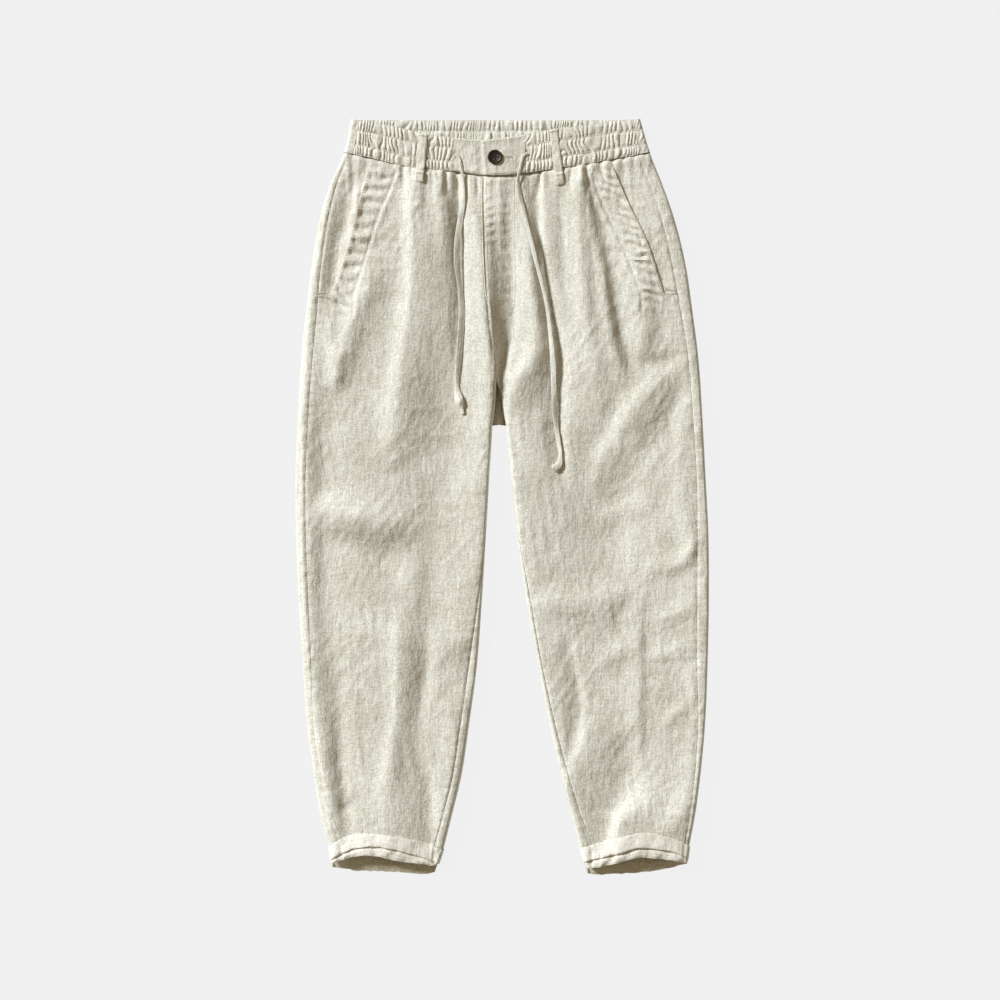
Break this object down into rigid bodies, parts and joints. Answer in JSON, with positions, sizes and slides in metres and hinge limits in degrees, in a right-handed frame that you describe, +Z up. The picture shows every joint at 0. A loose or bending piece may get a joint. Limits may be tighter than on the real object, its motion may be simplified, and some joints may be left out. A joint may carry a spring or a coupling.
{
  "type": "linen drawstring trousers",
  "caption": "Tapered linen trousers with an elastic drawstring waist, slant pockets, a buttoned fly and turned-up hems, laid flat.",
  "frame": {"origin": "middle of the bounding box seen from above, on the surface that the trousers lie on", "axes": "+X towards the wearer's left, +Y from the hems to the waist, +Z up from the surface"},
  "size_m": [0.5161, 0.9428, 0.0244],
  "materials": {
    "linen": "woven, natural undyed linen with slubs, washed and creased",
    "linen_band": "woven linen, gathered over elastic or pressed flat, stitched",
    "linen_tape": "narrow folded linen tape",
    "dark_button": "dark horn-like resin, semi-gloss"
  },
  "bodies": {
    "root": {"back_left": "linen", "back_right": "linen", "belt_loop_left": "linen_band", "belt_loop_right": "linen_band", "button": "dark_button", "cuff_back_left": "linen", "cuff_back_right": "linen", "cuff_front_left": "linen", "cuff_front_right": "linen", "drawstring_left": "linen_tape", "drawstring_right": "linen_tape", "front_left": "linen", "front_right": "linen", "pocket_facing_left": "linen", "pocket_facing_right": "linen", "waistband_back": "linen_band", "waistband_centre_left": "linen_band", "waistband_centre_right": "linen_band", "waistband_front_left": "linen_band", "waistband_front_right": "linen_band"}
  },
  "joints": []
}
